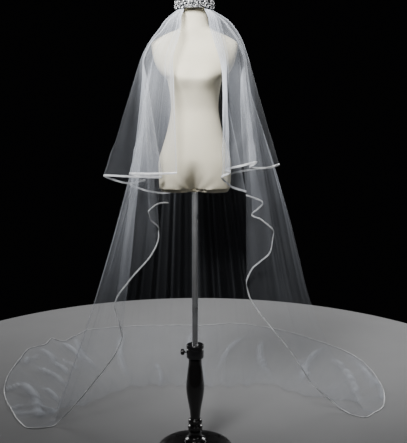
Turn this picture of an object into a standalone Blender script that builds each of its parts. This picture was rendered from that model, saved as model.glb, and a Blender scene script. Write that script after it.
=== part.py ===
"""Two-tier bridal veil of tulle with a satin ribbon edge, on a limbless dress form.

Metres, +Z up. The origin is the middle of the stand's round base, on the floor.
The veil opens towards -Y, its train lies towards +Y, and +X is on the viewer's right.
A bearing is the angle round the form in degrees: 0 is the front, 90 the viewer's left,
180 the back and 270 the viewer's right.
"""
import math
from collections import namedtuple

import bmesh
import bpy
from mathutils import Vector

# Cloth and ribbon
CLOTH = 0.0012
GAP = 0.0003
RIBBON_WIDTH = 0.010
RIBBON_THICKNESS = 0.0010
COLUMN_STEP = 0.082
UPPER_PLEAT = 0.0014
LOWER_PLEAT = 0.0009
TRAIN_RIDGE = 0.55

# Dress form
NECK_TOP = 1.840
FORM_BOTTOM = 1.107
FORM_SIDES = 32
CLEFT_WIDTH = 0.034

# Band
BAND_BOTTOM = 1.825
BAND_TOP = 1.858
BAND_HALF_WIDTH = 0.0726
BAND_HALF_DEPTH = 0.0686
BAND_WALL = 0.0040
STONE_HEIGHT = 0.0026
STONES_AROUND = 24

# Stand
POLE_RADIUS = 0.0125
SOCKET_RADIUS = 0.0365
SOCKET_TOP = 0.464
SOCKET_BOTTOM = 0.405
KNOB_Z = 0.430
KNOB_SHANK = 0.008
KNOB_LENGTH = 0.016
KNOB_RADIUS = 0.0125
BASE_RADIUS = 0.160
BASE_TOP = 0.034
ROUND_SIDES = 28

# Rings that a tier passes through from its gathered edge down to the chest
Ring = namedtuple("Ring", "name z half_width half_depth pleat")
LOWER_RINGS = (
    Ring("gather", 1.836, 0.0549, 0.0509, 1.0),
    Ring("roll", 1.822, 0.0640, 0.0600, 1.0),
    Ring("puff", 1.782, 0.1180, 0.0880, 0.9),
    Ring("slope", 1.745, 0.1500, 0.1030, 0.7),
    Ring("shoulder", 1.700, 0.1810, 0.1140, 0.4),
    Ring("chest", 1.630, 0.2040, 0.1280, 0.0),
)
UPPER_RINGS = (
    Ring("gather", 1.8362, 0.0588, 0.0548, 1.0),
    Ring("roll", 1.823, 0.0710, 0.0670, 1.0),
    Ring("puff", 1.787, 0.1290, 0.0980, 0.9),
    Ring("slope", 1.751, 0.1620, 0.1130, 0.7),
    Ring("shoulder", 1.706, 0.1890, 0.1270, 0.4),
    Ring("chest", 1.635, 0.2140, 0.1430, 0.0),
)

# Folds of the upper tier, from the left front edge round the back to the right front edge.
# bearing is where the fold leaves the chest; x, y and z are its point on the hem.
UpperFold = namedtuple("UpperFold", "name bearing x y z")
UPPER_GATHER = (44.0, 316.0)
UPPER_FOLDS = (
    UpperFold("left_edge", 22, -0.067, -0.150, 1.194),
    UpperFold("left_front_dip", 34, -0.150, -0.140, 1.190),
    UpperFold("left_front_fold", 50, -0.250, -0.122, 1.188),
    UpperFold("left_inner_turn", 58, -0.185, -0.098, 1.178),
    UpperFold("left_inner_fold", 66, -0.126, -0.078, 1.171),
    UpperFold("left_side_dip", 76, -0.235, -0.036, 1.168),
    UpperFold("left_tip", 90, -0.373, 0.040, 1.166),
    UpperFold("left_back_turn", 104, -0.292, 0.160, 1.123),
    UpperFold("left_back_inner", 112, -0.222, 0.258, 1.126),
    UpperFold("left_back_outer", 122, -0.292, 0.306, 1.100),
    UpperFold("back_1_in", 132, -0.190, 0.325, 1.065),
    UpperFold("back_2_out", 142, -0.150, 0.362, 1.058),
    UpperFold("back_3_in", 152, -0.105, 0.336, 1.064),
    UpperFold("back_4_out", 162, -0.070, 0.372, 1.068),
    UpperFold("back_5_in", 171, -0.028, 0.338, 1.076),
    UpperFold("back_6_out", 180, 0.010, 0.374, 1.084),
    UpperFold("back_7_in", 189, 0.045, 0.338, 1.097),
    UpperFold("back_8_out", 198, 0.085, 0.370, 1.112),
    UpperFold("back_9_in", 208, 0.120, 0.330, 1.128),
    UpperFold("back_10_out", 218, 0.170, 0.348, 1.149),
    UpperFold("back_11_in", 228, 0.208, 0.302, 1.161),
    UpperFold("right_back", 240, 0.270, 0.276, 1.176),
    UpperFold("right_back_dip", 252, 0.325, 0.205, 1.186),
    UpperFold("right_tip", 268, 0.351, 0.100, 1.208),
    UpperFold("right_side_dip", 280, 0.285, -0.040, 1.204),
    UpperFold("right_inner_fold", 290, 0.214, -0.088, 1.211),
    UpperFold("right_outer_fold", 300, 0.244, -0.119, 1.234),
    UpperFold("right_front_dip", 308, 0.188, -0.128, 1.221),
    UpperFold("right_strip_inner", 316, 0.122, -0.137, 1.205),
    UpperFold("right_strip_fold", 322, 0.138, -0.165, 1.199),
    UpperFold("right_front_fold", 328, 0.108, -0.152, 1.179),
    UpperFold("right_flap", 333, 0.143, -0.108, 1.138),
    UpperFold("right_edge", 337, 0.205, -0.070, 1.113),
)

# Folds of the lower tier in the same order. The hanging ones end on the ribbon that climbs
# the front. hip and knee pull the fold inwards there, in metres.
HangingFold = namedtuple("HangingFold", "name bearing x y z hip knee")
LOWER_GATHER = (58.0, 302.0)
LEFT_HANGING = (
    HangingFold("left_edge", 76, -0.118, 0.165, 1.038, 0.0, 0.0),
    HangingFold("left_flap", 79, -0.150, 0.085, 1.047, 0.0, 0.0),
    HangingFold("left_front_fold", 82, -0.185, -0.015, 1.030, 0.0, 0.0),
    HangingFold("left_front_turn", 85, -0.180, 0.060, 0.975, 0.0, 0.0),
    HangingFold("left_inner_fold", 88, -0.155, 0.130, 0.922, 0.0, 0.0),
    HangingFold("left_inner_turn", 91, -0.189, 0.125, 0.817, 0.0, 0.0),
    HangingFold("left_slant_high", 94, -0.288, 0.115, 0.702, 0.0, 0.0),
    HangingFold("left_outer_fold", 97, -0.349, 0.120, 0.596, 0.008, 0.0),
    HangingFold("left_low_inner", 101, -0.327, 0.175, 0.434, 0.018, 0.000),
    HangingFold("left_slant_mid", 105, -0.381, 0.195, 0.319, 0.026, 0.000),
    HangingFold("left_slant_low", 109, -0.451, 0.215, 0.224, 0.034, 0.000),
    HangingFold("left_slant_foot", 113, -0.530, 0.238, 0.122, 0.040, 0.000),
)
RIGHT_HANGING = (
    HangingFold("right_slant_foot", 250, 0.672, 0.400, 0.027, 0.0, 0.058),
    HangingFold("right_slant_low", 254, 0.583, 0.362, 0.113, 0.0, 0.042),
    HangingFold("right_slant_mid", 258, 0.524, 0.326, 0.187, 0.0, 0.028),
    HangingFold("right_slant_knee", 262, 0.430, 0.270, 0.343, 0.0, 0.010),
    HangingFold("right_slant_high", 266, 0.349, 0.235, 0.451, 0.0, 0.0),
    HangingFold("right_low_fold", 269, 0.235, 0.188, 0.620, 0.0, 0.0),
    HangingFold("right_low_turn", 272, 0.243, 0.130, 0.752, 0.0, 0.0),
    HangingFold("right_outer_turn", 275, 0.314, 0.088, 0.830, 0.0, 0.0),
    HangingFold("right_outer_fold", 278, 0.319, 0.015, 0.945, 0.0, 0.0),
    HangingFold("right_front_dip", 281, 0.270, -0.026, 0.995, 0.0, 0.0),
    HangingFold("right_front_fold", 284, 0.234, -0.035, 1.014, 0.0, 0.0),
    HangingFold("right_flap", 288, 0.282, 0.014, 1.060, 0.022, 0.0),
    HangingFold("right_edge", 291, 0.211, 0.052, 1.084, 0.014, 0.0),
)

# The folds that reach the floor at foot_x, foot_y and run on to the train's edge.
# fold is the depth of the flute at the foot, out for a ridge and in for a valley.
TrainFold = namedtuple("TrainFold", "name bearing foot_x foot_y edge_x edge_y fold hip knee")
TRAIN = (
    TrainFold("left_pool_front", 116, -0.648, 0.264, -0.652, 0.214, 0.000, 0.042, 0.010),
    TrainFold("left_pool_tip", 118, -0.660, 0.302, -0.772, 0.200, 0.000, 0.042, 0.010),
    TrainFold("left_pool_side", 120, -0.664, 0.342, -0.880, 0.370, 0.000, 0.041, 0.010),
    TrainFold("left_side", 122, -0.662, 0.380, -0.985, 0.610, 0.006, 0.041, 0.010),
    TrainFold("left_lobe_1", 124, -0.632, 0.400, -1.034, 0.870, -0.010, 0.040, 0.008),
    TrainFold("left_lobe_2", 127, -0.590, 0.405, -1.034, 1.125, 0.010, 0.036, 0.006),
    TrainFold("left_lobe_3", 130, -0.545, 0.410, -1.026, 1.320, -0.012, 0.030, 0.004),
    TrainFold("left_notch", 133, -0.505, 0.450, -0.945, 1.400, 0.014, 0.024, 0.000),
    TrainFold("left_scallop", 136, -0.470, 0.505, -0.925, 1.530, -0.014, 0.018, 0.000),
    TrainFold("left_bay", 139, -0.430, 0.560, -0.835, 1.470, 0.016, 0.012, 0.000),
    TrainFold("left_corner", 142, -0.385, 0.610, -0.735, 1.690, -0.016, 0.006, 0.000),
    TrainFold("back_1", 145, -0.335, 0.645, -0.620, 1.740, 0.020, 0.0, 0.0),
    TrainFold("back_2", 149, -0.285, 0.660, -0.520, 1.770, -0.020, 0.0, 0.0),
    TrainFold("back_3", 153, -0.235, 0.670, -0.420, 1.790, 0.022, 0.0, 0.0),
    TrainFold("back_4", 157, -0.190, 0.675, -0.325, 1.800, -0.022, 0.0, 0.0),
    TrainFold("back_5", 161, -0.140, 0.675, -0.230, 1.800, 0.024, 0.0, 0.0),
    TrainFold("back_6", 165, -0.100, 0.672, -0.145, 1.805, -0.022, 0.0, 0.0),
    TrainFold("back_7", 169, -0.055, 0.672, -0.065, 1.805, 0.018, 0.0, 0.0),
    TrainFold("back_8", 173, -0.018, 0.672, 0.010, 1.805, -0.020, 0.0, 0.0),
    TrainFold("back_9", 177, 0.025, 0.668, 0.085, 1.815, 0.022, 0.0, 0.0),
    TrainFold("back_10", 181, 0.070, 0.664, 0.160, 1.840, -0.024, 0.0, 0.0),
    TrainFold("back_11", 185, 0.118, 0.662, 0.235, 1.850, 0.020, 0.0, 0.0),
    TrainFold("back_12", 189, 0.165, 0.662, 0.320, 1.830, -0.022, 0.0, 0.0),
    TrainFold("back_13", 193, 0.212, 0.668, 0.405, 1.790, 0.024, 0.0, 0.0),
    TrainFold("back_14", 197, 0.258, 0.680, 0.490, 1.740, -0.018, 0.0, 0.0),
    TrainFold("back_15", 201, 0.305, 0.690, 0.575, 1.675, 0.018, 0.0, 0.0),
    TrainFold("back_16", 205, 0.352, 0.695, 0.655, 1.590, -0.016, 0.0, 0.010),
    TrainFold("back_17", 209, 0.402, 0.675, 0.735, 1.490, 0.016, 0.0, 0.020),
    TrainFold("right_lobe_1", 213, 0.450, 0.625, 0.814, 1.393, -0.014, 0.0, 0.030),
    TrainFold("right_lobe_2", 217, 0.500, 0.570, 0.885, 1.280, 0.014, 0.0, 0.040),
    TrainFold("right_lobe_3", 221, 0.550, 0.535, 0.940, 1.130, -0.012, 0.000, 0.045),
    TrainFold("right_lobe_4", 225, 0.605, 0.515, 0.966, 0.960, 0.012, 0.000, 0.053),
    TrainFold("right_lobe_5", 229, 0.665, 0.500, 0.972, 0.800, -0.010, 0.000, 0.058),
    TrainFold("right_side", 233, 0.730, 0.490, 0.960, 0.610, 0.008, 0.000, 0.060),
    TrainFold("right_pool_side", 237, 0.790, 0.460, 0.915, 0.440, 0.000, 0.000, 0.060),
    TrainFold("right_pool_tip", 240, 0.802, 0.424, 0.858, 0.372, 0.000, 0.000, 0.060),
    TrainFold("right_pool_nose", 243, 0.785, 0.400, 0.802, 0.314, 0.000, 0.000, 0.060),
    TrainFold("right_pool_front", 246, 0.745, 0.410, 0.738, 0.340, 0.000, 0.000, 0.060),
)

# Stations of a lower fold between the chest and the hem, as shares of each stretch
DROP_SHARES = (0.12, 0.25, 0.39, 0.53, 0.67, 0.80, 0.91)
FLOOR_SHARES = (0.12, 0.42, 0.72)
BEND_SHARE = 0.04
LOW_SHARES = (0.26, 0.50, 0.75)
HANGING_SPLIT = 0.80
LOW_SPLIT = 0.955
SPLIT_HEIGHT = 0.60
UPPER_SHARES = (0.18, 0.38, 0.58, 0.79)

# Sections of the dress form. cleft pinches the middle between the thigh stubs.
Section = namedtuple("Section", "name z half_width front back cleft")
FORM_SECTIONS = (
    Section("neck_top", NECK_TOP, 0.0535, 0.0495, 0.0495, 0.0),
    Section("neck", 1.778, 0.0545, 0.0530, 0.0550, 0.0),
    Section("neck_base", 1.754, 0.0640, 0.0560, 0.0640, 0.0),
    Section("slope", 1.736, 0.1050, 0.0560, 0.0720, 0.0),
    Section("shoulder", 1.715, 0.1480, 0.0570, 0.0780, 0.0),
    Section("shoulder_tip", 1.695, 0.1700, 0.0620, 0.0820, 0.0),
    Section("arm", 1.655, 0.1660, 0.0800, 0.0880, 0.0),
    Section("arm_low", 1.610, 0.1530, 0.0950, 0.0920, 0.0),
    Section("arm_end", 1.578, 0.1330, 0.1080, 0.0920, 0.0),
    Section("bust", 1.555, 0.1100, 0.1150, 0.0880, 0.0),
    Section("under_bust", 1.505, 0.0990, 0.0980, 0.0800, 0.0),
    Section("waist", 1.437, 0.0880, 0.0790, 0.0700, 0.0),
    Section("high_hip", 1.345, 0.1130, 0.0880, 0.0900, 0.0),
    Section("hip", 1.245, 0.1440, 0.0980, 0.1100, 0.05),
    Section("seat", 1.180, 0.1460, 0.0970, 0.1100, 0.35),
    Section("thigh", 1.125, 0.1430, 0.0930, 0.1020, 0.66),
    Section("thigh_end", FORM_BOTTOM, 0.1380, 0.0880, 0.0960, 0.72),
)

# Turned profile of the column, top to bottom
Turn = namedtuple("Turn", "name z radius")
COLUMN_TURNS = (
    Turn("neck", SOCKET_BOTTOM - GAP, 0.0270),
    Turn("shoulder", 0.375, 0.0285),
    Turn("belly_high", 0.330, 0.0340),
    Turn("belly", 0.275, 0.0385),
    Turn("belly_low", 0.235, 0.0350),
    Turn("waist", 0.175, 0.0240),
    Turn("stem", 0.138, 0.0215),
    Turn("bead_1_top", 0.130, 0.0290),
    Turn("bead_1_low", 0.116, 0.0290),
    Turn("groove", 0.111, 0.0230),
    Turn("bead_2_top", 0.104, 0.0310),
    Turn("bead_2_low", 0.088, 0.0310),
    Turn("cove", 0.078, 0.0250),
    Turn("flare", 0.055, 0.0310),
    Turn("foot_top", 0.046, 0.0440),
    Turn("foot", BASE_TOP + GAP, 0.0460),
)
BASE_TURNS = (
    Turn("top", BASE_TOP, 0.0600),
    Turn("dome", 0.031, 0.0950),
    Turn("shoulder", 0.023, 0.1350),
    Turn("rim", 0.014, 0.1540),
    Turn("edge", 0.006, BASE_RADIUS),
    Turn("foot", 0.000, BASE_RADIUS - 0.003),
)


def mix(a, b, share):
    """The value that lies share of the way from a to b."""
    return a + (b - a) * share


def on_ring(ring, bearing, grow=0.0):
    """The point of an oval ring at a bearing, moved out by grow."""
    angle = math.radians(bearing)
    return Vector((-(ring.half_width + grow) * math.sin(angle),
                   -(ring.half_depth + grow) * math.cos(angle), ring.z))


def through(before, start, end, after, share):
    """A smooth curve between start and end that also heeds the points on either side."""
    s2 = share * share
    s3 = s2 * share
    return 0.5 * (2.0 * start + (end - before) * share
                  + (2.0 * before - 5.0 * start + 4.0 * end - after) * s2
                  + (3.0 * start - before - 3.0 * end + after) * s3)


def neck_points(rings, gather, order, bearing):
    """Where a fold passes each ring: spread evenly at the gather, at its bearing by the chest."""
    start = mix(gather[0], gather[1], order)
    last = len(rings) - 1
    return [on_ring(ring, mix(start, bearing, (k / last) ** 0.8)) for k, ring in enumerate(rings)]


def pulled_in(point, share, hip, knee):
    """A point of a hanging fold, drawn towards the middle at the hip and at the knee."""
    pull = hip * math.sin(math.pi * share ** 0.6) + knee * math.sin(math.pi * share ** 1.8) ** 2
    flat = Vector((point.x, 0.35 * point.y, 0.0))
    return point - flat.normalized() * pull if pull else point


def hanging_line(chest, fold, shares):
    """Points of a fold from the chest to a hem that hangs above the floor."""
    hem = Vector((fold.x, fold.y, fold.z))
    return [pulled_in(chest.lerp(hem, share), share, fold.hip, fold.knee) for share in shares]


def hanging_shares(fold):
    """Shares down a hanging fold that match the stations of a fold that reaches the floor."""
    split = mix(LOW_SPLIT, HANGING_SPLIT, min(1.0, fold.z / SPLIT_HEIGHT))
    drop = [split * share for share in DROP_SHARES]
    low = [mix(split, 1.0, share) for share in (0.06,) + LOW_SHARES]
    return drop + low + [1.0]


def train_line(chest, fold):
    """Points of a fold from the chest down to its foot and along the floor to the train's edge."""
    reach = Vector((fold.foot_x, fold.foot_y, 0.0))
    foot = reach + reach.normalized() * fold.fold
    edge = Vector((fold.edge_x, fold.edge_y, 0.0))
    drop = [pulled_in(chest.lerp(foot, share), share, fold.hip, fold.knee) for share in DROP_SHARES]
    high = chest.lerp(foot, 1.0 - BEND_SHARE)
    low = foot.lerp(edge, 0.5 * FLOOR_SHARES[0])
    bend = (high + 2.0 * foot + low) / 4.0
    floor = [foot.lerp(edge, share) for share in FLOOR_SHARES]
    for share, point in zip(FLOOR_SHARES, floor):
        point.z = max(0.0, fold.fold) * TRAIN_RIDGE * (1.0 - share)
    return drop + [bend] + floor + [edge]


def upper_net():
    """The upper tier's folds, each a list of points from the gather to the hem."""
    lines = []
    for k, fold in enumerate(UPPER_FOLDS):
        line = neck_points(UPPER_RINGS, UPPER_GATHER, k / (len(UPPER_FOLDS) - 1), fold.bearing)
        hem = Vector((fold.x, fold.y, fold.z))
        line += [line[-1].lerp(hem, share) for share in UPPER_SHARES + (1.0,)]
        lines.append(line)
    return lines


def lower_net():
    """The lower tier's folds, each a list of points from the gather to its edge."""
    folds = LEFT_HANGING + TRAIN + RIGHT_HANGING
    lines = []
    for k, fold in enumerate(folds):
        line = neck_points(LOWER_RINGS, LOWER_GATHER, k / (len(folds) - 1), fold.bearing)
        if isinstance(fold, TrainFold):
            line += train_line(line[-1], fold)
        else:
            line += hanging_line(line[-1], fold, hanging_shares(fold))
        lines.append(line)
    return lines


def columns_of(net):
    """The folds with one more column between neighbours whose hems lie far apart."""
    columns = []
    last = len(net) - 1
    for k in range(last):
        before, start, end, after = net[max(k - 1, 0)], net[k], net[k + 1], net[min(k + 2, last)]
        columns.append([point.copy() for point in start])
        if (start[-1] - end[-1]).length > COLUMN_STEP:
            columns.append([through(a, b, c, d, 0.5) for a, b, c, d in zip(before, start, end, after)])
    columns.append([point.copy() for point in net[last]])
    for column in columns:
        for point in column:
            point.z = max(point.z, 0.0)
    return columns


def pleat_columns(columns, rings, depth):
    """Fold the gathered edge: every other column stands out, less and less down to the chest."""
    for k, column in enumerate(columns):
        side = 1.0 if k % 2 else -1.0
        for ring, point in zip(rings, column):
            out = Vector((point.x, point.y, 0.0)).normalized()
            point += out * (side * depth * ring.pleat)


def add_ribbon_row(columns):
    """Put a row one ribbon's width above the hem, measured square to the hem."""
    last = len(columns) - 1
    for k, column in enumerate(columns):
        hem, above = column[-1], column[-2]
        along = (columns[min(k + 1, last)][-1] - columns[max(k - 1, 0)][-1]).normalized()
        up = (above - hem).normalized()
        slant = max(0.4, along.cross(up).length)
        rise = min(RIBBON_WIDTH / slant, 0.6 * (above - hem).length)
        column.insert(len(column) - 1, hem + up * rise)


def normals_of(columns):
    """Unit normals of a grid of columns on its outer side, halfway between the two sides of a fold."""
    before = [[Vector() for _ in column] for column in columns]
    after = [[Vector() for _ in column] for column in columns]
    for k in range(len(columns) - 1):
        for j in range(len(columns[0]) - 1):
            a, b, c, d = columns[k][j], columns[k + 1][j], columns[k + 1][j + 1], columns[k][j + 1]
            facing = [(b - a).cross(c - a), (c - a).cross(d - a)]
            facing = [side.normalized() for side in facing]
            after[k][j] += facing[0] + facing[1]
            after[k][j + 1] += facing[1]
            before[k + 1][j] += facing[0]
            before[k + 1][j + 1] += facing[0] + facing[1]
    return [[(one.normalized() + two.normalized()).normalized() for one, two in zip(ones, twos)]
            for ones, twos in zip(before, after)]


def moved_out(columns, normals, distance):
    """The grid moved along its normals."""
    return [[point + normal * distance for point, normal in zip(column, row)]
            for column, row in zip(columns, normals)]


def slab(name, inner, outer):
    """A closed solid between two grids of the same size."""
    mesh = bmesh.new()
    low = [[mesh.verts.new(point) for point in column] for column in inner]
    high = [[mesh.verts.new(point) for point in column] for column in outer]
    last_k, last_j = len(inner) - 1, len(inner[0]) - 1
    for k in range(last_k):
        for j in range(last_j):
            a, b, c, d = high[k][j], high[k + 1][j], high[k + 1][j + 1], high[k][j + 1]
            mesh.faces.new((a, c, b))
            mesh.faces.new((a, d, c))
            a, b, c, d = low[k][j], low[k + 1][j], low[k + 1][j + 1], low[k][j + 1]
            mesh.faces.new((a, b, c))
            mesh.faces.new((a, c, d))
    for k in range(last_k):
        mesh.faces.new((low[k][0], high[k][0], high[k + 1][0], low[k + 1][0]))
        mesh.faces.new((low[k][last_j], low[k + 1][last_j], high[k + 1][last_j], high[k][last_j]))
    for j in range(last_j):
        mesh.faces.new((low[0][j], low[0][j + 1], high[0][j + 1], high[0][j]))
        mesh.faces.new((low[last_k][j], high[last_k][j], high[last_k][j + 1], low[last_k][j + 1]))
    return finished(name, mesh)


def finished(name, mesh):
    """Turn a bmesh into a smooth-shaded object in the scene."""
    bmesh.ops.recalc_face_normals(mesh, faces=mesh.faces)
    data = bpy.data.meshes.new(name)
    mesh.to_mesh(data)
    mesh.free()
    data.shade_smooth()
    data.set_sharp_from_angle(angle=math.radians(40.0))
    thing = bpy.data.objects.new(name, data)
    bpy.context.scene.collection.objects.link(thing)
    return thing


def lofted(name, loops):
    """A closed solid through loops of equal length, top to bottom, with a flat fan at each end."""
    mesh = bmesh.new()
    rings = [[mesh.verts.new(point) for point in loop] for loop in loops]
    count = len(loops[0])
    for upper, lower in zip(rings, rings[1:]):
        for k in range(count):
            n = (k + 1) % count
            mesh.faces.new((upper[k], upper[n], lower[n], lower[k]))
    for ring, loop in ((rings[0], loops[0]), (rings[-1], loops[-1])):
        middle = mesh.verts.new(Vector((0.0, 0.0, loop[0].z)))
        for k in range(count):
            mesh.faces.new((ring[k], ring[(k + 1) % count], middle))
    return finished(name, mesh)


def turned(name, turns):
    """A turned solid from a profile that runs top to bottom."""
    angles = [2.0 * math.pi * k / ROUND_SIDES for k in range(ROUND_SIDES)]
    loops = [[Vector((turn.radius * math.cos(a), turn.radius * math.sin(a), turn.z)) for a in angles]
             for turn in turns]
    return lofted(name, loops)


def form_loop(section):
    """One section of the dress form, deeper at the back, pinched between the thigh stubs."""
    loop = []
    for k in range(FORM_SIDES):
        angle = 2.0 * math.pi * k / FORM_SIDES
        x = section.half_width * math.sin(angle)
        depth = section.front if math.cos(angle) > 0.0 else section.back
        pinch = 1.0 - section.cleft * math.exp(-(x / CLEFT_WIDTH) ** 2)
        loop.append(Vector((x, -depth * math.cos(angle) * pinch, section.z)))
    return loop


def bust_raise(loops):
    """Raise the two soft rounds of the bust on the front of the form's loops."""
    side, height, spread, amount = 0.052, 1.562, 0.040, 0.016
    for loop in loops:
        for point in loop:
            if point.y < 0.0:
                for middle in (-side, side):
                    away = ((point.x - middle) ** 2 + (point.z - height) ** 2) / spread ** 2
                    point.y -= amount * math.exp(-away)


def build_form():
    """The limbless dress form, neck to thigh stubs."""
    loops = [form_loop(section) for section in FORM_SECTIONS]
    bust_raise(loops)
    return lofted("dress_form", loops)


def stone_height(across, up):
    """How far the band's outer wall rises at a place within one stone's cell."""
    return STONE_HEIGHT if across and up else 0.0


def build_band():
    """The crystal band: an oval wall with two rows of raised stones on its outer side."""
    columns_per_stone = 3
    count = STONES_AROUND * columns_per_stone
    heights = (0.0, 0.14, 0.36, 0.50, 0.64, 0.86, 1.0)
    raised_rows = (1, 2, 4, 5)
    mesh = bmesh.new()
    outer, inner = [], []
    for k in range(count):
        angle = 360.0 * k / count
        across = k % columns_per_stone != 0
        line = []
        for j, share in enumerate(heights):
            grow = BAND_WALL + stone_height(across, j in raised_rows)
            ring = Ring("band", mix(BAND_BOTTOM, BAND_TOP, share), BAND_HALF_WIDTH, BAND_HALF_DEPTH, 0.0)
            line.append(mesh.verts.new(on_ring(ring, angle, grow)))
        outer.append(line)
        ends = [Ring("band", z, BAND_HALF_WIDTH, BAND_HALF_DEPTH, 0.0) for z in (BAND_BOTTOM, BAND_TOP)]
        inner.append([mesh.verts.new(on_ring(ring, angle)) for ring in ends])
    for k in range(count):
        n = (k + 1) % count
        for j in range(len(heights) - 1):
            mesh.faces.new((outer[k][j], outer[n][j], outer[n][j + 1], outer[k][j + 1]))
        mesh.faces.new((inner[k][0], inner[k][1], inner[n][1], inner[n][0]))
        mesh.faces.new((inner[k][0], inner[n][0], outer[n][0], outer[k][0]))
        mesh.faces.new((inner[k][1], outer[k][-1], outer[n][-1], inner[n][1]))
    return finished("crystal_band", mesh)


def build_rod(name, start, end, radius, sides):
    """A plain round rod between two points."""
    along = end - start
    mesh = bmesh.new()
    bmesh.ops.create_cone(mesh, cap_ends=True, cap_tris=True, segments=sides,
                          radius1=radius, radius2=radius, depth=along.length)
    turn = Vector((0.0, 0.0, 1.0)).rotation_difference(along)
    bmesh.ops.rotate(mesh, verts=mesh.verts, cent=(0.0, 0.0, 0.0), matrix=turn.to_matrix())
    bmesh.ops.translate(mesh, verts=mesh.verts, vec=(start + end) / 2.0)
    return finished(name, mesh)


def build_knob():
    """The height knob on the viewer's left of the socket: a shank and a round grip in one piece."""
    profile = ((0.0, 0.004), (KNOB_SHANK, 0.004), (KNOB_SHANK, 0.75 * KNOB_RADIUS),
               (KNOB_SHANK + 0.25 * KNOB_LENGTH, KNOB_RADIUS), (KNOB_SHANK + 0.75 * KNOB_LENGTH, KNOB_RADIUS),
               (KNOB_SHANK + KNOB_LENGTH, 0.7 * KNOB_RADIUS))
    start = -SOCKET_RADIUS - GAP
    sides = 16
    mesh = bmesh.new()
    rings = []
    for reach, radius in profile:
        angles = [2.0 * math.pi * k / sides for k in range(sides)]
        rings.append([mesh.verts.new(Vector((start - reach, radius * math.cos(a), KNOB_Z + radius * math.sin(a))))
                      for a in angles])
    for near, far in zip(rings, rings[1:]):
        for k in range(sides):
            n = (k + 1) % sides
            mesh.faces.new((near[k], near[n], far[n], far[k]))
    mesh.faces.new(rings[0])
    mesh.faces.new(rings[-1])
    return finished("height_knob", mesh)


def build_tier(name, net, rings, pleat):
    """A tier's wall and the ribbon on its hem."""
    columns = columns_of(net)
    pleat_columns(columns, rings, pleat)
    add_ribbon_row(columns)
    normals = normals_of(columns)
    tier = slab(name + "_tier", columns, moved_out(columns, normals, CLOTH))
    hem = [column[-2:] for column in columns]
    hem_normals = [row[-2:] for row in normals]
    ribbon = slab(name + "_ribbon", moved_out(hem, hem_normals, CLOTH + GAP),
                  moved_out(hem, hem_normals, CLOTH + GAP + RIBBON_THICKNESS))
    return tier, ribbon


def finish_with(thing, name, colour, roughness, metallic=0.0, alpha=1.0):
    """Give an object a plain material."""
    material = bpy.data.materials.new(name)
    material.use_nodes = True
    shader = material.node_tree.nodes["Principled BSDF"]
    shader.inputs["Base Color"].default_value = (*colour, 1.0)
    shader.inputs["Roughness"].default_value = roughness
    shader.inputs["Metallic"].default_value = metallic
    shader.inputs["Alpha"].default_value = alpha
    thing.data.materials.append(material)


def main():
    for thing in list(bpy.data.objects):
        bpy.data.objects.remove(thing)

    tulle = (0.93, 0.94, 0.97)
    satin = (0.97, 0.97, 0.98)
    upper, upper_ribbon = build_tier("upper", upper_net(), UPPER_RINGS, UPPER_PLEAT)
    lower, lower_ribbon = build_tier("lower", lower_net(), LOWER_RINGS, LOWER_PLEAT)
    finish_with(upper, "upper_tulle", tulle, 0.85, alpha=0.35)
    finish_with(lower, "lower_tulle", tulle, 0.85, alpha=0.35)
    finish_with(upper_ribbon, "upper_satin", satin, 0.35)
    finish_with(lower_ribbon, "lower_satin", satin, 0.35)
    finish_with(build_band(), "crystals", (0.85, 0.87, 0.90), 0.15, metallic=0.6)

    finish_with(build_form(), "cream_jersey", (0.80, 0.77, 0.68), 0.9)
    pole = build_rod("pole", Vector((0.0, 0.0, SOCKET_TOP + GAP)), Vector((0.0, 0.0, FORM_BOTTOM - GAP)),
                     POLE_RADIUS, 24)
    finish_with(pole, "chrome", (0.75, 0.76, 0.78), 0.12, metallic=1.0)
    socket = build_rod("pole_socket", Vector((0.0, 0.0, SOCKET_BOTTOM)), Vector((0.0, 0.0, SOCKET_TOP)),
                       SOCKET_RADIUS, ROUND_SIDES)
    finish_with(socket, "black_socket", (0.02, 0.02, 0.02), 0.3)
    finish_with(build_knob(), "black_knob", (0.02, 0.02, 0.02), 0.25)
    finish_with(turned("column", COLUMN_TURNS), "black_gloss_wood", (0.015, 0.014, 0.014), 0.2)
    finish_with(turned("base", BASE_TURNS), "black_base", (0.015, 0.014, 0.014), 0.25)


main()
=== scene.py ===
import math
from collections import namedtuple

import bpy
import numpy as np
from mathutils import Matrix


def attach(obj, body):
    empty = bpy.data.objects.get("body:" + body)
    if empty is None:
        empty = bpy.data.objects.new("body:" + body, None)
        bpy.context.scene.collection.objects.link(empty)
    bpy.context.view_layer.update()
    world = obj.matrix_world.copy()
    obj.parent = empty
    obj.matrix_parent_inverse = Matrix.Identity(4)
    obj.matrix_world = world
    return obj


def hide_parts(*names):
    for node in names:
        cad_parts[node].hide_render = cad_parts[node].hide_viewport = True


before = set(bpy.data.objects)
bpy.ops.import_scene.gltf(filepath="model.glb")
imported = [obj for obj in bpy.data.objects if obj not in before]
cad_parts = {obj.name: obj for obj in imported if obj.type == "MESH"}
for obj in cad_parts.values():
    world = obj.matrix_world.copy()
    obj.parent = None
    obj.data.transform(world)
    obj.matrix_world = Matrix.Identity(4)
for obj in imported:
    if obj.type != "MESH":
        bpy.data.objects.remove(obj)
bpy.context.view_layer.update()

# Cloth and ribbon
CLOTH = 0.0012
GAP = 0.0003
RIBBON_WIDTH = 0.008
TRAIN_RIBBON_WIDTH = 0.006
COLUMN_STEP = 0.082
TRAIN_RIDGE = 0.55
FOLD_SPAN = 0.030
FOLD_RADIUS = 0.016
PLEAT_WIDTH = 0.0022

# How finely each tier is divided between two folds and between two stations
UPPER_FINE = (12, 5)
LOWER_FINE = (6, 5)

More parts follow.
